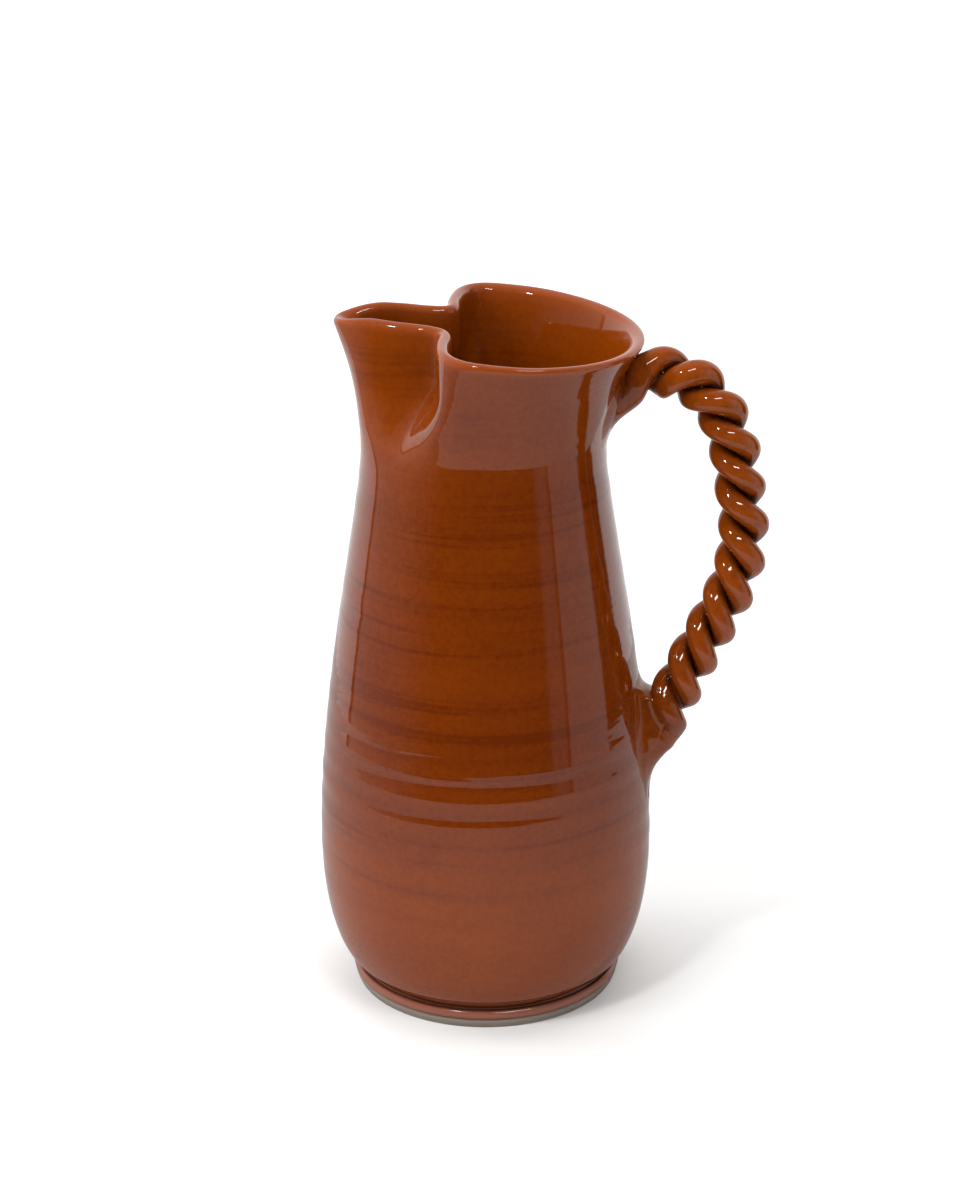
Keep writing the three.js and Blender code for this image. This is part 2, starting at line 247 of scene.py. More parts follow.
def glazeGroup():
    # Colour, roughness and height of a poured honey glaze over red clay. Thin, Pool and PaintedSheen are
    # masks: where the glaze ran off an edge, where it gathered and painted shade darkens the grooves, and
    # where a grey painted reflection of the pale table lies.
    look = glazeLook
    group = bpy.data.node_groups.new("pouredGlaze", "ShaderNodeTree")
    inputKinds = {
        "NodeSocketVector": ["Vector"],
        "NodeSocketFloat": ["Thin", "Pool", "PaintedSheen", "Banding", "Speckle"],
        "NodeSocketColor": ["Glaze", "DeepAndShade", "Clay"],
    }
    outputKinds = {"NodeSocketColor": ["Color"], "NodeSocketFloat": ["Roughness", "Height"]}
    for side, kinds in (("INPUT", inputKinds), ("OUTPUT", outputKinds)):
        for kind, names in kinds.items():
            for name in names:
                group.interface.new_socket(name=name, in_out=side, socket_type=kind)
    source = addNode(group, "NodeGroupInput", (-1400, 0)).outputs
    result = addNode(group, "NodeGroupOutput", (900, 0)).inputs

    def times(place, first, second):
        return maths(group, place, "MULTIPLY", first, second)

    def plus(place, first, second, clamp=False):
        return maths(group, place, "ADD", first, second, clamp)

    bands = noise(group, (-1150, 400), source["Vector"], look["bandWaves"], 3, 0.5)
    zones = noise(group, (-1150, 200), source["Vector"], look["zoneWaves"], 2, 0.5)
    clouds = noise(group, (-1150, 0), source["Vector"], look["cloudWaves"], 3, 0.5)
    mottle = noise(group, (-1150, -200), source["Vector"], look["mottleWaves"], 2, 0.6)
    grain = noise(group, (-1150, -400), source["Vector"], look["grainWaves"], 1, 0.5)

    # depth: bands in some zones only, and the broad noises, weakly
    bandMask = stretch(group, (-700, 400), bands, 0.55, 0.74)
    bandMask = times((-550, 400), bandMask, stretch(group, (-700, 250), zones, 0.42, 0.62))
    bandMask = times((-400, 400), bandMask, source["Banding"])
    zoneMask = stretch(group, (-700, 100), zones, 0.3, 0.7, 0.0, 0.22)
    cloudMask = stretch(group, (-700, -50), clouds, 0.35, 0.7, 0.0, 0.16)
    mottleMask = stretch(group, (-700, -200), mottle, 0.4, 0.66, 0.0, 0.2)
    depth = plus((-250, 300), times((-400, 250), bandMask, look["bandShare"]), zoneMask)
    depth = plus((-100, 250), depth, cloudMask)
    depth = plus((50, 200), depth, mottleMask)
    # gathered glaze and painted shade in the grooves and in the foot's cove darken it further
    depth = plus((150, 150), depth, source["Pool"], clamp=True)
    colour = mixColour(group, (300, 200), depth, source["Glaze"], source["DeepAndShade"])

    # clay shows through where the glaze is thin, dark specks lie in it, and a grey painted reflection of the
    # pale table covers the foot's chamfer
    patchy = stretch(group, (-100, -50), mottle, 0.3, 0.6, 0.7, 1.0)
    thin = times((50, -50), source["Thin"], patchy)
    colour = mixColour(group, (450, 150), thin, colour, source["Clay"])
    specks = times((50, -350), stretch(group, (-700, -350), grain, 0.58, 0.72), source["Speckle"])
    specks = times((450, -200), specks, look["speckShare"])
    colour = mixColour(group, (600, 100), specks, colour, look["speckColour"])
    # the painted grey reflection of the pale table laid over the glaze
    colour = mixColour(group, (750, 50), source["PaintedSheen"], colour, look["paintedSheenColour"])
    link(group, colour, result["Color"])

    roughness = stretch(group, (300, -350), mottle, 0.3, 0.75, *look["roughness"])
    roughness = plus((450, -400), roughness, times((300, -500), thin, look["thinRoughness"]))
    sheenRoughness = times((450, -550), source["PaintedSheen"], look["paintedSheenRoughness"])
    link(group, plus((600, -400), roughness, sheenRoughness), result["Roughness"])

    # fine turning lines: a sine of the height, pushed about by the clouds so that no two are alike
    split = addNode(group, "ShaderNodeSeparateXYZ", (-900, -650))
    link(group, source["Vector"], split.inputs[0])
    phase = times((-700, -650), split.outputs["Z"], 2 * math.pi / look["lineSpacing"])
    phase = plus((-550, -650), phase, times((-700, -800), clouds, look["lineWander"]))
    line = maths(group, (-400, -650), "SINE", phase)
    line = times((-250, -650), line, stretch(group, (-400, -800), zones, 0.35, 0.65, 0.15, 1.0))
    line = times((-100, -650), line, times((-250, -950), source["Banding"], look["lineHeight"]))
    height = plus((50, -700), line, times((-100, -800), clouds, look["skinHeight"]))
    height = plus((200, -700), height, times((50, -850), mottle, look["mottleHeight"]))
    link(group, height, result["Height"])
    return group


glaze = glazeGroup()


def glazeMaterial(name, finish):
    # a smooth glass-like coat: Principled with the glaze group's colour and height, read in the
    # piece's own coordinates
    material = bpy.data.materials.new(name)
    material.use_nodes = True
    tree = material.node_tree
    shader = tree.nodes["Principled BSDF"].inputs
    shader["IOR"].default_value = 1.52
    mixed = addNode(tree, "ShaderNodeGroup", (-500, 0), node_tree=glaze)
    coordinates = addNode(tree, "ShaderNodeTexCoord", (-900, 0))
    link(tree, coordinates.outputs["Object"], mixed.inputs["Vector"])
    for row, mask in enumerate(("Thin", "Pool", "PaintedSheen")):
        reader = addNode(tree, "ShaderNodeAttribute", (-900, -250 - 200 * row), attribute_name=mask.lower())
        link(tree, reader.outputs["Fac"], mixed.inputs[mask])
    for key in ("Glaze", "DeepAndShade", "Clay", "Banding", "Speckle"):
        mixed.inputs[key].default_value = finish[key]
    bump = addNode(tree, "ShaderNodeBump", (-250, -300))
    bump.inputs["Strength"].default_value = 1.0
    bump.inputs["Distance"].default_value = finish["bumpDepth"]
    link(tree, mixed.outputs["Height"], bump.inputs["Height"])
    link(tree, bump.outputs["Normal"], shader["Normal"])
    link(tree, mixed.outputs["Color"], shader["Base Color"])
    link(tree, mixed.outputs["Roughness"], shader["Roughness"])
    return material


bodyFinish = {
    "Glaze": (0.208, 0.037, 0.0010, 1),
    "DeepAndShade": (0.105, 0.015, 0.0006, 1),
    "Clay": (0.235, 0.047, 0.010, 1),
    "Banding": 1.0,
    "Speckle": 1.0,
    "bumpDepth": 0.000022,
}
handleFinish = {
    "Glaze": (0.245, 0.045, 0.0018, 1),
    "DeepAndShade": (0.045, 0.007, 0.0006, 1),
    "Clay": (0.26, 0.055, 0.008, 1),
    "Banding": 0.1,
    "Speckle": 1.0,
    "bumpDepth": 0.000012,
}
footFinish = {
    "Glaze": (0.25, 0.05, 0.014, 1),
    "DeepAndShade": (0.08, 0.016, 0.004, 1),
    "Clay": (0.30, 0.07, 0.035, 1),
    "Banding": 0.3,
    "Speckle": 0.6,
    "bumpDepth": 0.00002,
}
bodyGlaze = glazeMaterial("bodyGlaze", bodyFinish)
handleGlaze = glazeMaterial("handleGlaze", handleFinish)
footGlaze = glazeMaterial("footGlaze", footFinish)
print("glaze made")

wall = {
    "base": 0.0098,
    "groove": 0.0568,
    "belly": 0.0721,
    "bellyHeight": 0.066,
    "bellyPull": 0.071,
    "neck": 0.0512,
    "neckHeight": 0.248,
    "neckPull": 0.027,
    "rim": 0.298,
    "thickness": 0.0046,
    "lip": 0.0056,
    "floor": 0.007,
    "floorRound": 0.016,
    "footSwell": 0.63,  # how soon and how steeply the wall leaves the foot
    "footPull": 0.0052,
    "edgeHeights": (0, 0.0006, 0.0014, 0.0023, 0.0031, 0.0035, 0.0039),  # rows of the edge over the foot
    "rowsUnder": 14,
    "rowsOutside": 236,
    "rowsInside": 66,
    "rowsLip": 14,
    "rowsFloor": 12,
    "columns": 264,
    "lipThin": 0.85,  # glaze: thin on the lip, gathered in the rings and on the shoulder, gathered with painted shade above the foot
    "ringPool": 1.4,
    "footPoolShade": 0.5,
    "shoulderPool": 0.38,
}


def wallProfile():
    # outer radius against height: two Bezier arcs that meet at the belly, then the straight neck, all
    # rounded off except close to the foot
    low = bezier(
        [
            (wall["groove"], wall["base"]),
            (
                wall["groove"] + (wall["belly"] - wall["groove"]) * wall["footSwell"],
                wall["base"] + wall["footPull"],
            ),
            (wall["belly"], wall["base"] + (wall["bellyHeight"] - wall["base"]) * 0.5),
            (wall["belly"], wall["bellyHeight"]),
        ],
        np.linspace(0, 1, 200),
    )
    high = bezier(
        [
            (wall["belly"], wall["bellyHeight"]),
            (wall["belly"], wall["bellyHeight"] + wall["bellyPull"]),
            (wall["neck"], wall["neckHeight"] - wall["neckPull"]),
            (wall["neck"], wall["neckHeight"]),
        ],
        np.linspace(0, 1, 400),
    )
    above = wall["rim"] + 0.01
    line = np.vstack([low, high[1:], [(wall["neck"], above)]])
    heights = np.linspace(wall["base"], above, 1200)
    radii = np.interp(heights, line[:, 1], line[:, 0])
    soft = roundOff(np.stack([radii, heights], 1), 14)[:, 0]
    blend = smoothStep(heights, wall["base"] + 0.004, wall["base"] + 0.02)
    return heights, radii + (soft - radii) * blend


profileHeights, profileRadii = wallProfile()


def outerRadius(z):
    # outer radius of the round wall at a height, without the mouth's flare
    return np.interp(z, profileHeights, profileRadii)


mouth = {
    "lobeReach": 0.0654,
    "lobeHalfWidth": 0.0615,
    "spoutReach": 0.0605,
    "spoutHalfWidth": 0.0145,
    "pinchHalfGap": 0.0195,
    "pinchSetback": 0.0145,
    "skew": 0.075,
    "start": 0.236,  # height where the round neck starts to open
    "flarePower": 2.1,
    "pinchStart": 0.236,
    "pinchFull": 0.281,
    "pinchPower": 1.6,
    "spoutRise": 0.0044,
    "tipDrop": 0.0042,
    "lineSteps": 2080,
    "lineWaves": 26,
}


def mouthStations():
    # half of the mouth's middle line, as (angle on the round neck, x, y at the lip, share of the fold
    # against the flare), then its mirror
    m = mouth
    reach = m["spoutReach"] - m["pinchSetback"]
    back = -m["pinchSetback"]
    half = [
        (0, m["lobeReach"], 0, 0),
        (22, m["lobeReach"] * 0.92, m["lobeHalfWidth"] * 0.42, 0),
        (44, m["lobeReach"] * 0.7, m["lobeHalfWidth"] * 0.755, 0),
        (66, m["lobeReach"] * 0.38, m["lobeHalfWidth"] * 0.965, 0),
        (86, m["lobeReach"] * 0.08, m["lobeHalfWidth"], 0.05),
        (101, back * 0.4, m["lobeHalfWidth"] * 0.95, 0.4),
        (112, back * 0.84, m["lobeHalfWidth"] * 0.8, 0.9),
        (121, back * 0.98, m["lobeHalfWidth"] * 0.56, 1),
        (129, back, m["pinchHalfGap"], 1),
        (138, back - reach * 0.18, m["spoutHalfWidth"] + 0.0006, 1),
        (149, back - reach * 0.46, m["spoutHalfWidth"], 0.7),
        (161, back - reach * 0.76, m["spoutHalfWidth"] * 0.78, 0.25),
        (172, back - reach * 0.95, m["spoutHalfWidth"] * 0.4, 0),
        (180, -m["spoutReach"], 0, 0),
    ]
    return half + [(360 - angle, x, -y, fold) for angle, x, y, fold in half[-2:0:-1]]


stations = mouthStations()
stationSteps = np.arange(mouth["lineSteps"]) * len(stations) / mouth["lineSteps"]


def stationLine(points):
    # a smooth closed line through one point for each station
    return roundOffClosed(catmullRom(points, stationSteps, True), mouth["lineWaves"])


lipLine = stationLine([(x - mouth["skew"] * y, y) for angle, x, y, fold in stations])
neckAngles = [math.radians(angle) for angle, x, y, fold in stations]
neckLine = stationLine([(math.cos(angle), math.sin(angle)) for angle in neckAngles])
neckLine /= np.linalg.norm(neckLine, axis=1, keepdims=True)
foldShare = np.clip(stationLine([(fold, fold) for angle, x, y, fold in stations])[:, 0], 0, 1)


def flareShare(z):
    # 0 where the neck starts to open, 1 at the rim
    return np.clip((z - mouth["start"]) / (wall["rim"] - mouth["start"]), 0, 1)


def planLines(z, middle):
    # the wall's middle line at each height: a circle that moves towards the lip's line, by a power of
    # the height for the flare and by a power of a smooth step for the two folds
    z = np.atleast_1d(z)[:, None, None]
    middle = np.atleast_1d(middle)[:, None, None]
    neckMiddle = wall["neck"] - wall["thickness"] / 2
    flared = flareShare(z) ** mouth["flarePower"]
    folded = smoothStep(z, mouth["pinchStart"], mouth["pinchFull"]) ** mouth["pinchPower"]
    fold = foldShare[None, :, None]
    moved = flared * (1 - fold) + folded * fold
    return neckLine[None] * middle + (lipLine - neckLine * neckMiddle)[None] * moved


rings = {
    "wide": (0.05, 0.0172),  # depth in millimetres, then spacing up the wall
    "middle": (0.115, 0.0121),
    "fine": (0.011, 0.0051),
    "unevenSpacing": 0.071,
}


def ringWaves(turn, z):
    # throwing rings: three sines of the height whose phase climbs once round the wall, the finest
    # twice, and wavers on the way; the middle one is strongest over the belly, the depth is uneven, and
    # all fade out at the foot and at the lip
    turned = 2 * np.pi * turn
    depth, spacing = rings["wide"]
    wide = depth * np.sin(2 * np.pi * (z / spacing + turn) + 0.8 * np.sin(turned + 1))
    depth, spacing = rings["middle"]
    middle = depth * np.sin(2 * np.pi * (z / spacing + turn) + 0.9 * np.sin(2 * turned) + 2)
    middle = middle * (0.35 + 0.65 * smoothStep(z, 0.05, 0.07) * (1 - smoothStep(z, 0.125, 0.15)))
    depth, spacing = rings["fine"]
    fine = depth * np.sin(2 * np.pi * (z / spacing + 2 * turn) + 1.1 * np.sin(turned + 4))
    uneven = 0.7 + 0.3 * np.sin(2 * np.pi * (z / rings["unevenSpacing"]) + 3 * np.sin(turned))
    fade = smoothStep(z, 0.03, 0.06) * (1 - smoothStep(z, 0.25, 0.28))
    return (wide + middle + fine) * uneven * fade * millimetre


def wallSurface(heights, middles, offsets, pickColumns, ringShare):
    # the middle line moved along its own sideways normal by the offset and the rings, then lifted
    # towards the spout by the square of the flare
    plan = planLines(heights, middles)
    ahead = np.roll(plan, -3, axis=1) - np.roll(plan, 3, axis=1)
    ahead /= np.linalg.norm(ahead, axis=2, keepdims=True)
    normal = np.stack([ahead[..., 1], -ahead[..., 0]], -1)
    turn = (np.arctan2(plan[..., 1], plan[..., 0]) / (2 * np.pi)) % 1
    wave = ringWaves(turn, heights[:, None]) * ringShare[:, None]
    flat = plan + normal * (offsets[:, None] + wave)[..., None]
    share = flareShare(heights)[:, None] ** 2
    toTip = 1 - np.hypot(flat[..., 0] + mouth["spoutReach"], flat[..., 1]) / (mouth["spoutHalfWidth"] * 1.6)
    lift = -flat[..., 0] / mouth["spoutReach"] * mouth["spoutRise"] - mouth["tipDrop"] * smoothStep(toTip)
    solid = np.concatenate([flat, (heights[:, None] + lift * share)[..., None]], -1)
    return solid[:, pickColumns], wave[:, pickColumns]


def bodyRows():
    # one row for each point of the wall's section: height, middle radius, offset, and how much of the
    # throwing rings it carries; the section runs out under the foot, up the outside, over the lip and
    # down the inside to the middle of the floor
    t = wall["thickness"]
    base = wall["base"]
    halfLip = wall["lip"] / 2
    bend = wall["rim"] - halfLip

    def swell(z):
        # the wall grows from its own thickness to the lip's over the last 20 mm
        return 1 + (wall["lip"] / t - 1) * smoothStep(z, bend - 0.02, bend)

    def level(count, value):
        # the same value for a number of rows
        return np.full(count, float(value))

    under = wall["rowsUnder"]
    underRadii = np.linspace(0.002, wall["groove"] - 0.0004, under)
    below = [level(under, base), underRadii, level(under, 0), level(under, 0)]
    up = np.linspace(0, 1, wall["rowsOutside"])
    upHeights = base + (bend - base) * (0.82 * up + 0.18 * up**2)
    upHeights = np.r_[base + np.array(wall["edgeHeights"]), upHeights[4:]]
    # the wall ends in a turned edge over a small cove, just above the foot
    cove = smoothStep(upHeights, base + 0.0032, base + 0.0041)
    edge = wall["groove"] + 0.0002 + 0.35 * (upHeights - base)
    tucked = outerRadius(upHeights) * cove + edge * (1 - cove)
    outside = [upHeights, tucked - t / 2, t / 2 * swell(upHeights), level(len(upHeights), 1)]
    angle = np.linspace(0, np.pi, wall["rowsLip"] + 2)[1:-1]
    lipMiddle = level(len(angle), wall["neck"] - t / 2)
    lip = [bend + np.sin(angle) * halfLip, lipMiddle, np.cos(angle) * halfLip, level(len(angle), 0)]
    floorTop = base + wall["floor"]
    downHeights = np.linspace(bend, floorTop + wall["floorRound"], wall["rowsInside"])
    downMiddle = outerRadius(downHeights) - t / 2
    inside = [downHeights, downMiddle, -t / 2 * swell(downHeights), level(len(downHeights), 0.8)]
    turnIn = np.linspace(0, np.pi / 2, wall["rowsFloor"])[1:]
    wallInside = outerRadius(downHeights[-1]) - t
    corner = wallInside - wall["floorRound"] * (1 - np.cos(turnIn)) - 0.0015 * turnIn
    flat = np.linspace(corner[-1], 0.0015, wall["rowsFloor"])[1:]
    floorHeights = np.r_[floorTop + wall["floorRound"] * (1 - np.sin(turnIn)), level(len(flat), floorTop)]
    none = level(len(floorHeights), 0)
    floor = [floorHeights, np.r_[corner, flat], none, none]
    return [np.concatenate(part) for part in zip(below, outside, lip, inside, floor)]


def makeBody():
    # the wall's rows on the mouth's plan, and round rows for the floor, above and below
    heights, middles, offsets, ringShare = bodyRows()
    pick = np.round(np.arange(wall["columns"]) * mouth["lineSteps"] / wall["columns"]).astype(int)
    solid, wave = wallSurface(heights, middles, offsets, pick, ringShare)
    inFloor = offsets == 0
    solid[inFloor, :, :2] = neckLine[pick][None] * middles[inFloor][:, None, None]
    solid[inFloor, :, 2] = heights[inFloor][:, None]
    solid += np.array([axisX, axisY, 0])
    piece = gridMesh("pitcherBody", solid, startPole=True, endPole=True)
    tall = heights[:, None]
    thin = wall["lipThin"] * smoothStep(tall, wall["rim"] - 0.0052, wall["rim"] - 0.0012)
    nearFoot = 1 - smoothStep(tall, wall["base"] + 0.0015, wall["base"] + 0.004)
    toSpout = smoothStep(axisX - solid[..., 0], 0.0, 0.03) * smoothStep(tall, 0.225, 0.262)
    shoulder = smoothStep(tall, 0.062, 0.112) * (1 - toSpout) * (ringShare > 0.9)[:, None]
    # the cove just above the foot takes the deep colour: gathered glaze and painted shade
    pool = np.clip(-wave / millimetre * wall["ringPool"], 0, 0.2) + wall["footPoolShade"] * nearFoot
    glazeMasks(piece, wave.shape, thin=thin, pool=pool + wall["shoulderPool"] * shoulder)
    return piece


body = makeBody()
finishPiece(body, "body_glaze", bodyGlaze, "body")
print("body made:", len(body.data.polygons), "faces")

foot = {
    "inner": 0.0465,
    "contact": 0.0573,
    "beadOut": 0.0591,
    "beadHigh": 0.0062,  # middle of the bead
    "beadRadius": 0.0021,
    "beadTall": 0.0022,
    "groove": 0.0567,
    "height": 0.0097,
    "columns": 360,
}


def makeFoot():
    # a closed section carried round the axis: flat standing face, chamfer, bead, groove, inner wall
    f = foot
    inner, contact, groove, top = f["inner"], f["contact"], f["groove"], f["height"]
    bead = np.linspace(-0.42 * np.pi, 0.56 * np.pi, 15)
    beadOut = f["beadOut"] - f["beadRadius"] + f["beadRadius"] * np.cos(bead)
    section = np.vstack(
        [
            [(inner + 0.0003, 0.00015), (inner + 0.0009, 0.0), (contact - 0.0004, 0.0), (contact, 0.0001)],
            [(contact + 0.00025, 0.0005), (contact + 0.0009, 0.0022), (contact + 0.00125, 0.0036)],
            np.stack([beadOut, f["beadHigh"] + f["beadTall"] * np.sin(bead)], 1),
            [(groove + 0.0001, 0.0087), (groove - 0.0002, 0.0091), (groove - 0.0004, top)],
            [(inner + 0.0009, top), (inner, top - 0.001), (inner, 0.0006)],
        ]
    )
    turn = np.linspace(0, 2 * np.pi, f["columns"], endpoint=False)
    radius, tall = section[:, :1], section[:, 1:]
    levels = np.broadcast_to(tall, (len(section), f["columns"]))
    solid = np.stack([axisX + radius * np.cos(turn), axisY + radius * np.sin(turn), levels], -1)
    piece = gridMesh("footRing", solid, closeRows=True)
    thin = 0.7 * smoothStep(radius, f["beadOut"] - 0.0012, f["beadOut"] - 0.0002)
    # the groove under the body takes the deep colour: gathered glaze and painted shade
    pool = np.where(radius > 0.05, smoothStep(tall, 0.0078, 0.0087), 0)
    # grey painted reflection of the pale table on the chamfer, and a little on the bead
    paintedsheen = 1 - 0.78 * smoothStep(tall, 0.0037, 0.0043) - 0.22 * smoothStep(tall, 0.0078, 0.0086)
    glazeMasks(piece, levels.shape, thin, pool, paintedsheen)
    return piece


footPiece = makeFoot()
finishPiece(footPiece, "foot_glaze", footGlaze, "foot_ring")
print("foot made")

handle = {
    "reach": 0.1095,
    "top": 0.279,
    "upperJoin": 0.267,
    "lowerJoin": 0.112,
    "strandRadius": 0.0062,
    "strandOffset": 0.0046,
    "spread": 1.12,  # how much wider than thick a strand is
    "pressedTo": -0.00003,  # where a strand's flat stands, counted from the centre line
    "pressedRound": 0.0007,
    "endThickness": 0.7,
    "uneven": 0.015,
    "lead": 0.0326,  # length of handle for one whole turn
    "phase": 0.215,
    "around": 56,
    "lengthwise": 620,
    "from": 0.0190,  # distance down the centre line where the strands leave the upper root
    "to": 0.1285,  # height where they have sunk into the lower root
}


def handleCentre():
    # centre line in the plane of the axis, a smooth line through points given as shares: of the reach
    # with their height over the neck, then of the reach and of the drop over the belly
    h = handle
    neck = wall["neck"]
    joinRadius = float(outerRadius(h["lowerJoin"]))
    overNeck = [(0, h["upperJoin"]), (0.18, h["top"] - 0.004), (0.39, h["top"]), (0.6, h["top"] - 0.0028)]
    overBelly = [
        (0.7, 0.916), (0.875, 0.814), (0.96, 0.695), (1, 0.575), (0.905, 0.455),
        (0.69, 0.335), (0.44, 0.215), (0.25, 0.108), (0.075, 0),
    ]
    points = [(neck + (h["reach"] - neck) * share, 0, z) for share, z in overNeck]
    outwards, fall = h["reach"] - joinRadius, h["top"] - h["lowerJoin"]
    points += [(joinRadius + outwards * share, 0, h["lowerJoin"] + fall * drop) for share, drop in overBelly]
    steps = 2400
    line = catmullRom(points, np.linspace(0, len(points) - 1, steps), False)
    lengths = lengthsAlong(line)
    return roundOff(along(line, lengths, np.linspace(0, lengths[-1], steps)), 40)


centreLine = handleCentre()
centreLengths = lengthsAlong(centreLine)
handleLength = centreLengths[-1]


def crossFrame(direction):
    # the two ways across a line in the plane of the axis: outwards in the plane, and sideways
    side = np.broadcast_to([0.0, 1.0, 0.0], direction.shape)
    return np.cross(direction, side), side


def handleFrames(distance):
    # place, outward and sideways directions at each distance, from the places just ahead and behind
    step = 0.0008
    ahead = along(centreLine, centreLengths, np.minimum(distance + step, handleLength))
    behind = along(centreLine, centreLengths, np.maximum(distance - step, 0))
    direction = ahead - behind
    direction /= np.linalg.norm(direction, axis=1, keepdims=True)
    return along(centreLine, centreLengths, distance), *crossFrame(direction)


def sweep(place, outward, side, tall, wide):
    # the points tall outwards and wide sideways of each place
    return place[:, None] + outward[:, None] * tall[..., None] + side[:, None] * wide[..., None]


def turnAngles(count):
    # one whole turn in equal steps
    return np.linspace(0, 2 * np.pi, count, endpoint=False)[None, :]


def softMax(a, b, softness):
    # the larger of two values, rounded where they meet
    return 0.5 * (a + b + np.sqrt((a - b) ** 2 + softness**2))


def distanceAtHeight(z):
    # distance along the centre line where its lower half comes down to a height
    below = centreLengths > handleLength / 2
    return np.interp(-z, -centreLine[below, 2], centreLengths[below])


def finishHandlePiece(name, node, solid, thin, pool):
    # columns turned round so that the faces point outwards, and the whole moved onto the body's axis
    shape = solid.shape[:2]
    piece = gridMesh(name, solid[:, ::-1] + np.array([axisX, axisY, 0]), startPole=True, endPole=True)
    thin, pool = (np.broadcast_to(values, shape)[:, ::-1] for values in (thin, pool))
    glazeMasks(piece, shape, thin, pool)
    finishPiece(piece, "handle_glaze", handleGlaze, node)


def makeStrand(name, node, startTurn):
    # a round section pressed flat against its twin, turned about the centre line once for each lead,
    # thinner at both ends, where the roots swallow it
    h = handle
    end = distanceAtHeight(h["to"])
    distance = np.linspace(h["from"], end, h["lengthwise"])
    place, outward, side = handleFrames(distance)
    angle = turnAngles(h["around"])
    full = smoothStep(distance, h["from"], h["from"] + 0.004) * (1 - smoothStep(distance, end - 0.004, end))
    tapered = h["endThickness"] + (1 - h["endThickness"]) * full
    uneven = 1 + h["uneven"] * np.sin(2 * np.pi * distance / 0.061 + 7 * startTurn)
    radius = (h["strandRadius"] * tapered * uneven)[:, None]
    beside = radius * h["spread"] * np.sin(angle)
    across = softMax(h["strandOffset"] + radius * np.cos(angle), h["pressedTo"], h["pressedRound"])
    turn = 2 * np.pi * (startTurn + distance / h["lead"])[:, None]
    out = across * np.cos(turn) - beside * np.sin(turn)
    over = across * np.sin(turn) + beside * np.cos(turn)
    ridge = smoothStep(across, 0.0090, 0.0108)
    # the grooves between the strands take the very dark deep colour: gathered glaze and painted shade
    groove = 1 - smoothStep(np.hypot(across, beside), 0.0052, 0.0080)
    finishHandlePiece(name, node, sweep(place, outward, side, out, over), 0.3 * ridge, 0.8 * groove)


makeStrand("handleStrandA", "handle_strand_a", handle["phase"])
makeStrand("handleStrandB", "handle_strand_b", handle["phase"] + 0.5)
print("strands made, centre line", round(handleLength, 4), "m")


def ropeOutline(angle):
    # distance from the rope's centre to its outline, at an angle from the line between the strands:
    # where a ray leaves the further of two ellipses
    h = handle
    reach = []
    for sign in (1, -1):
        c, s = sign * np.cos(angle), np.sin(angle)
        a = (c / h["strandRadius"]) ** 2 + (s / (h["strandRadius"] * h["spread"])) ** 2
        b = -2 * h["strandOffset"] * c / h["strandRadius"] ** 2
        e = (h["strandOffset"] / h["strandRadius"]) ** 2 - 1
        reach.append((-b + np.sqrt(b * b - 4 * a * e)) / (2 * a))
    return softMax(reach[0], reach[1], 0.0004)


def ellipseOutline(angle, high, low, wide):
    # distance from the centre to an egg-shaped outline whose upper and lower halves differ
    tall = np.where(np.cos(angle) < 0, low, high)
    return 1 / np.sqrt((np.cos(angle) / tall) ** 2 + (np.sin(angle) / wide) ** 2)


def fillet(distance, radius):
    # how far a round fillet stands out from a post at this distance from the wall: the gap between a
    # quarter circle and its tangent
    inside = np.clip(radius - distance, 0, radius)
    return radius - np.sqrt(np.maximum(radius**2 - inside**2, 0))


def handleSideRadius(z):
    # outer radius of the wall below the handle, with the flare of the mouth's round lobe
    opened = mouth["lobeReach"] - wall["neck"] + wall["thickness"] / 2
    return outerRadius(z) + opened * flareShare(z) ** mouth["flarePower"]


def keepInWall(solid, depth):
    # lifts points that lie deeper than this in the wall back to that depth
    radial = np.hypot(solid[..., 0], solid[..., 1])
    wanted = np.maximum(radial, handleSideRadius(solid[..., 2]) - depth)
    solid[..., :2] *= (wanted / radial)[..., None]
    return solid


upperRoot = {
    "up": 0.0096,
    "down": 0.0098,
    "sideways": 0.0092,
    "filletDown": 0.0125,
    "filletSide": 0.0090,
    "filletUp": 0.0060,
    "from": -0.0050,  # distances down the centre line; before 0 it runs into the wall
    "to": 0.0260,
    "depthInWall": 0.0012,
    "settleSteps": 9,
    "rows": 120,
    "around": 144,
}


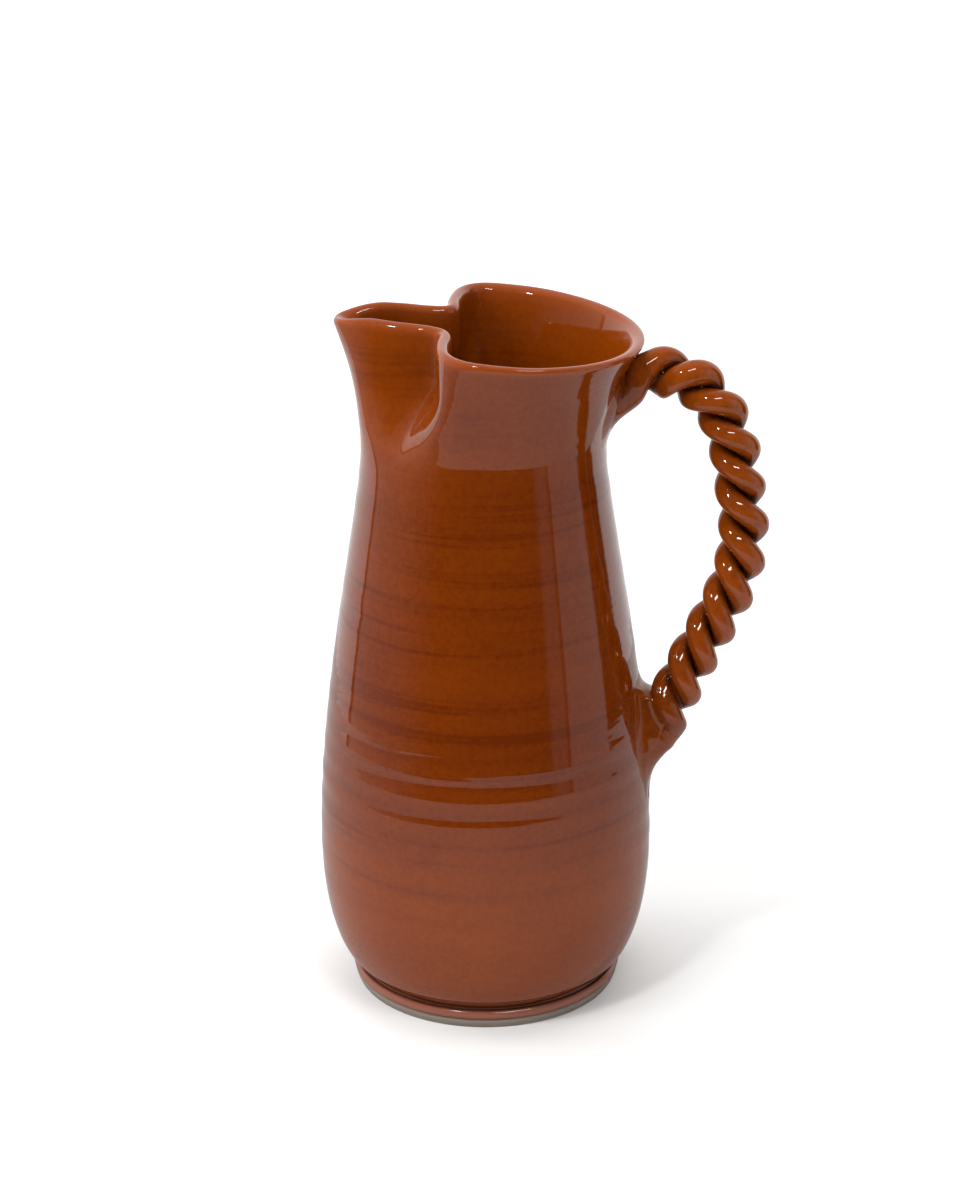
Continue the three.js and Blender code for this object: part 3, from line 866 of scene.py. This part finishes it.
def makeUpperRoot():
    # an arm from the neck to the rope: its outline turns from the rope's two lobes into an egg shape
    # and then spreads onto the wall with a round fillet
    r = upperRoot
    distance = r["from"] + (r["to"] - r["from"]) * np.linspace(0, 1, r["rows"]) ** 1.25
    place, outward, side = handleFrames(np.maximum(distance, 0))
    place = place + np.minimum(distance, 0)[:, None] * np.array([1.0, 0, 0.25])
    upright = 1 - smoothStep(distance, 0.002, 0.020)[:, None]
    outward = outward * (1 - upright) + np.array([0, 0, 1.0]) * upright
    outward /= np.linalg.norm(outward, axis=1, keepdims=True)
    angle = turnAngles(r["around"])
    turn = 2 * np.pi * (handle["phase"] + distance / handle["lead"])[:, None]
    lobed = ropeOutline(angle - turn) + 0.0004 * (0.5 - smoothStep(distance, 0.020, 0.025))[:, None]
    egg = ellipseOutline(angle, r["up"], r["down"], r["sideways"])
    smoothed = (1 - smoothStep(distance, -0.002, 0.016))[:, None]
    reach = lobed * (1 - smoothed) + egg * smoothed
    down = np.clip(-np.cos(angle), 0, 1) ** 2
    up = np.clip(np.cos(angle), 0, 1) ** 2
    beside = r["filletSide"]
    corner = beside + (r["filletDown"] - beside) * down + (r["filletUp"] - beside) * up

    def outline(reach):
        # the arm's points at this reach from its centre line
        return sweep(place, outward, side, reach * np.cos(angle), reach * np.sin(angle))

    spread = np.zeros_like(reach)
    # settles on the outline whose own distance from the wall calls for the fillet that it has
    for step in range(r["settleSteps"]):
        solid = outline(reach + spread)
        gap = np.hypot(solid[..., 0], solid[..., 1]) - handleSideRadius(solid[..., 2])
        spread = 0.5 * (spread + fillet(np.maximum(gap, 0), corner))
    solid = keepInWall(outline(reach + spread), r["depthInWall"])
    # the grooves between the rope's lobes are darkened: gathered glaze and painted shade
    groove = 0.35 * (1 - smoothStep(reach, 0.006, 0.009))
    finishHandlePiece("upperRoot", "upper_root", solid, 0.0, 0.25 + groove)


lowerRoot = {
    "from": 0.1440,  # height on the centre line where the root begins
    "crookHigh": 0.1362,  # heights between which the web in the crook comes in
    "crookLow": 0.1322,
    "tailTop": 0.122,
    "tailPoints": ((0.105, 0.0010), (0.097, 0.0002), (0.087, -0.0003)),  # height, and stand off the wall
    "thick": 0.0098,
    "tipThick": 0.0003,
    "wide": 0.0094,
    "tipWide": 0.0028,
    "webWide": 0.0086,
    "fillet": 0.0085,
    "crookFillet": 0.0035,
    "depthInWall": 0.0012,
    "rows": 190,
    "around": 120,
}


def makeLowerRoot():
    # the rope's two lobes fade into a tail that thins down the wall; a web fills the crook between
    # the rope and the belly, and both run out onto the wall with a round fillet
    r = lowerRoot
    start = distanceAtHeight(r["from"])
    ropePart = handleFrames(np.linspace(start, handleLength, 9))[0]
    tailEnd = r["tailPoints"][-1][0]
    guide = np.vstack([ropePart, [(float(outerRadius(z)) + stand, 0, z) for z, stand in r["tailPoints"]]])
    line = roundOff(catmullRom(guide, np.linspace(0, len(guide) - 1, 1200), False), 30)
    lengths = lengthsAlong(line)
    travelled = np.linspace(0, 1, r["rows"]) * lengths[-1]
    place = along(line, lengths, travelled)
    direction = np.gradient(place, axis=0)
    direction /= np.linalg.norm(direction, axis=1, keepdims=True)
    outward, side = crossFrame(direction)
    z = place[:, 2]
    angle = turnAngles(r["around"])
    turn = 2 * np.pi * (handle["phase"] + (start + travelled) / handle["lead"])[:, None]
    lobed = ropeOutline(angle - turn) + 0.0004 * (smoothStep(-z, -0.1385, -0.1345) - 0.5)[:, None]
    tapered = smoothStep(z, tailEnd + 0.001, r["tailTop"]) ** 1.3
    thick = (r["tipThick"] + r["thick"] * tapered)[:, None]
    wide = (r["tipWide"] + (r["wide"] - r["tipWide"]) * smoothStep(z, tailEnd - 0.004, 0.113))[:, None]
    egg = ellipseOutline(angle, thick, np.maximum(thick, 0.003), wide)
    smoothed = (1 - smoothStep(z, 0.114, 0.131))[:, None]
    reach = lobed * (1 - smoothed) + egg * smoothed
    toWall = np.maximum(np.hypot(place[:, 0], place[:, 1]) - outerRadius(z), 0)
    toWall = toWall / np.maximum(outward[:, 0], 0.3)
    web = ellipseOutline(angle, 0.003, (toWall + 0.0025)[:, None], r["webWide"])
    belowCrook = (1 - smoothStep(z, r["crookLow"], r["crookHigh"]))[:, None]
    web = web * belowCrook * np.minimum(wide / r["webWide"], 1)
    reach = softMax(reach, np.where(np.cos(angle) < 0.1, web, 0), 0.0012)
    sideways = reach * np.sin(angle)
    solid = sweep(place, outward, side, reach * np.cos(angle), sideways)
    radial = np.hypot(solid[..., 0], solid[..., 1])
    depth = outerRadius(solid[..., 2]) - radial
    gap = np.maximum(-depth, 0)
    corner = r["fillet"] * (0.35 + 0.65 * smoothStep(z, tailEnd, 0.112))[:, None]
    spread = fillet(gap, corner) + 3 * np.maximum(depth, 0)  # what lies in the wall runs on outwards
    solid[..., 1] += spread * sideways / np.hypot(sideways, 0.002)
    solid[..., :2] *= (radial / np.hypot(solid[..., 0], solid[..., 1]))[..., None]
    crook = smoothStep(-np.cos(angle), 0.2, 0.9) * smoothStep(z, 0.112, 0.128)[:, None]
    solid[..., 2] += fillet(gap, r["crookFillet"]) * crook
    # the grooves between the rope's lobes are darkened: gathered glaze and painted shade
    groove = 0.35 * (1 - smoothStep(reach, 0.0062, 0.0085)) * (1 - smoothed)
    finishHandlePiece("lowerRoot", "lower_root", keepInWall(solid, r["depthInWall"]), 0.0, 0.15 + groove)


makeUpperRoot()
makeLowerRoot()
print("roots made")

stage = {
    "floorSize": 40.0,
    "floorColour": (0.82, 0.82, 0.81, 1),
    "mirroredFloor": (0.41, 0.41, 0.41, 1),
    "tableRadius": 0.5,  # the pale table top that the glaze mirrors; the studio beyond it is dark
    "glowFrom": 0.45,  # the floor glows from here outwards, so that it fades into the backdrop
    "glowTo": 2.6,
    "glow": 0.9,
    "aim": 0.16,  # height on the body's axis that the lamps point at
}
view = {
    "yaw": 8.0,  # degrees
    "pitch": 20.965,
    "pan": -0.094,
    "roll": -0.36,
    "away": 1.130,  # metres from the body's axis
    "height": 0.608,
    "lens": 84.99,  # millimetres
    "sensor": 36,
}


def makeFloor():
    # pale and endless for the camera; in mirror rays only the table top is there
    far = stage["floorSize"] / 2
    corners = [(-far, -far, 0), (far, -far, 0), (far, far, 0), (-far, far, 0)]
    mesh = bpy.data.meshes.new("studioFloor")
    mesh.from_pydata(corners, [], [(0, 1, 2, 3)])
    floor = bpy.data.objects.new("studioFloor", mesh)
    bpy.context.collection.objects.link(floor)
    material = bpy.data.materials.new("paleFloor")
    material.use_nodes = True
    tree = material.node_tree
    shader = tree.nodes["Principled BSDF"]
    shader.inputs["Roughness"].default_value = 0.6
    shader.inputs["Specular IOR Level"].default_value = 0.2
    coordinates = addNode(tree, "ShaderNodeTexCoord", (-900, 300))
    flat = addNode(tree, "ShaderNodeVectorMath", (-700, 300), operation="MULTIPLY")
    flat.inputs[1].default_value = (1, 1, 0)
    link(tree, coordinates.outputs["Object"], flat.inputs[0])
    length = addNode(tree, "ShaderNodeVectorMath", (-500, 300), operation="LENGTH")
    link(tree, flat.outputs[0], length.inputs[0])
    away = length.outputs["Value"]
    rays = addNode(tree, "ShaderNodeLightPath", (-300, 550)).outputs
    edge = stage["tableRadius"]
    beyond = stretch(tree, (-300, 300), away, edge - 0.004, edge + 0.004)
    hidden = maths(tree, (-100, 400), "MULTIPLY", beyond, rays["Is Glossy Ray"])
    far = stretch(tree, (-300, 100), away, stage["glowFrom"], stage["glowTo"], 0.0, stage["glow"])
    glow = maths(tree, (-100, 100), "MULTIPLY", far, rays["Is Camera Ray"])
    shader.inputs["Emission Color"].default_value = (1, 1, 1, 1)
    link(tree, glow, shader.inputs["Emission Strength"])
    seen = mixColour(tree, (-100, -100), rays["Is Glossy Ray"], stage["floorColour"], stage["mirroredFloor"])
    link(tree, seen, shader.inputs["Base Color"])
    clear = addNode(tree, "ShaderNodeBsdfTransparent", (100, 200))
    mixed = addNode(tree, "ShaderNodeMixShader", (300, 300))
    link(tree, hidden, mixed.inputs[0])
    link(tree, shader.outputs[0], mixed.inputs[1])
    link(tree, clear.outputs[0], mixed.inputs[2])
    link(tree, mixed.outputs[0], tree.nodes["Material Output"].inputs["Surface"])
    mesh.materials.append(material)


lamps = {  # azimuth, elevation, distance, width, height, power, and whether the glaze mirrors it
    "glintLeft": (-35, 56, 2.4, 0.20, 0.20, 12, True),
    "glintRight": (30, 52, 2.4, 0.95, 0.20, 16, True),
    "softLeft": (-54, 35, 2.3, 1.1, 1.1, 31, False),
    "fillLeft": (-104, 18, 2.0, 0.8, 1.2, 16, False),
    "fillRight": (50, 22, 2.2, 0.8, 0.8, 6, False),
    "overhead": (170, 80, 2.5, 2.4, 2.0, 50, False),
}


def areaLight(name, azimuth, elevation, distance, width, height, power, mirrored):
    # a soft box aimed at the middle of the body; the azimuth is counted like the studio's
    data = bpy.data.lights.new(name, "AREA")
    data.shape = "RECTANGLE"
    data.size, data.size_y = width, height
    data.energy = power
    lamp = bpy.data.objects.new(name, data)
    turn = math.radians(azimuth + view["yaw"])
    rise = math.radians(elevation)
    away = Vector((math.sin(turn) * math.cos(rise), -math.cos(turn) * math.cos(rise), math.sin(rise)))
    lamp.location = Vector((axisX, axisY, stage["aim"])) + distance * away
    lamp.rotation_euler = away.to_track_quat("Z", "Y").to_euler()
    lamp.visible_glossy = mirrored
    bpy.context.collection.objects.link(lamp)


studio = {
    # brightness at each angle round the vertical, counted from the viewer's side towards the right
    "ring": (
        (-180, 1.0), (-116.5, 1.0), (-115.5, 0.06), (-113, 0.06), (-112, 0.55), (-75, 0.36), (-50, 0.12),
        (-38, 0.03), (46, 0.03), (50, 0.26), (59.5, 0.28), (60.5, 0.08), (62.0, 0.08), (63, 0.55),
        (97, 0.6), (99, 0.02), (121, 0.02), (124, 1.0), (180, 1.0),
    ),
    "overheadFrom": 0.35,  # above this rise the ring gives way to the ceiling
    "overheadFull": 0.6,
    "ceilingBack": 0.55,
    "ceilingFront": 0.06,
}


def makeWorld():
    # bright paper behind, dark room in front, a pale screen on either side, and a ceiling that is
    # brighter at the back
    world = bpy.data.worlds.new("studio")
    bpy.context.scene.world = world
    world.use_nodes = True
    tree = world.node_tree
    coordinates = addNode(tree, "ShaderNodeTexCoord", (-1300, 0))
    yaw = math.radians(view["yaw"])
    toRight = (math.cos(yaw), math.sin(yaw), 0)
    toViewer = (math.sin(yaw), -math.cos(yaw), 0)
    sides = []
    for spot, axis in (((-1100, 150), toRight), ((-1100, -50), toViewer)):
        dot = addNode(tree, "ShaderNodeVectorMath", spot, operation="DOT_PRODUCT")
        dot.inputs[1].default_value = axis
        link(tree, coordinates.outputs["Generated"], dot.inputs[0])
        sides.append(dot.outputs["Value"])
    angle = maths(tree, (-900, 50), "ARCTAN2", sides[0], sides[1])
    ramp = addNode(tree, "ShaderNodeValToRGB", (-500, 50))
    link(tree, stretch(tree, (-700, 50), angle, -math.pi, math.pi), ramp.inputs["Fac"])
    points = ramp.color_ramp.elements
    for point, (degrees, value) in zip(points, (studio["ring"][0], studio["ring"][-1])):
        point.color = (value, value, value, 1)
    for degrees, value in studio["ring"][1:-1]:
        points.new(degrees / 360 + 0.5).color = (value, value, value, 1)
    split = addNode(tree, "ShaderNodeSeparateXYZ", (-1100, -300))
    link(tree, coordinates.outputs["Generated"], split.inputs[0])
    high = stretch(tree, (-700, -300), split.outputs["Z"], studio["overheadFrom"], studio["overheadFull"])
    ceiling = stretch(tree, (-700, -500), sides[1], -0.5, 0.2, studio["ceilingBack"], studio["ceilingFront"])
    colour = mixColour(tree, (-200, 0), high, ramp.outputs["Color"], ceiling)
    link(tree, colour, tree.nodes["Background"].inputs["Color"])


def makeCamera():
    # stands off the body's axis on the handle's side, looking down at it
    data = bpy.data.cameras.new("camera")
    data.sensor_width = view["sensor"]
    data.lens = view["lens"]
    camera = bpy.data.objects.new("camera", data)
    yaw, pitch, pan, roll = (math.radians(view[key]) for key in ("yaw", "pitch", "pan", "roll"))
    away = view["away"]
    camera.location = (axisX + away * math.sin(yaw), axisY - away * math.cos(yaw), view["height"])
    heading = pan - yaw
    level = math.cos(pitch)
    forward = Vector((math.sin(heading) * level, math.cos(heading) * level, -math.sin(pitch)))
    right = Vector((math.cos(heading), -math.sin(heading), 0))
    up = right.cross(forward)
    turnedRight = right * math.cos(roll) + up * math.sin(roll)
    turnedUp = up * math.cos(roll) - right * math.sin(roll)
    camera.rotation_euler = Matrix((turnedRight, turnedUp, -forward)).transposed().to_euler()
    data.clip_start, data.clip_end = 0.05, 100
    bpy.context.collection.objects.link(camera)
    bpy.context.scene.camera = camera


makeFloor()
makeWorld()
for name, values in lamps.items():
    areaLight(name, *values)
makeCamera()
bpy.context.scene.view_settings.view_transform = "Standard"
print("stage made")
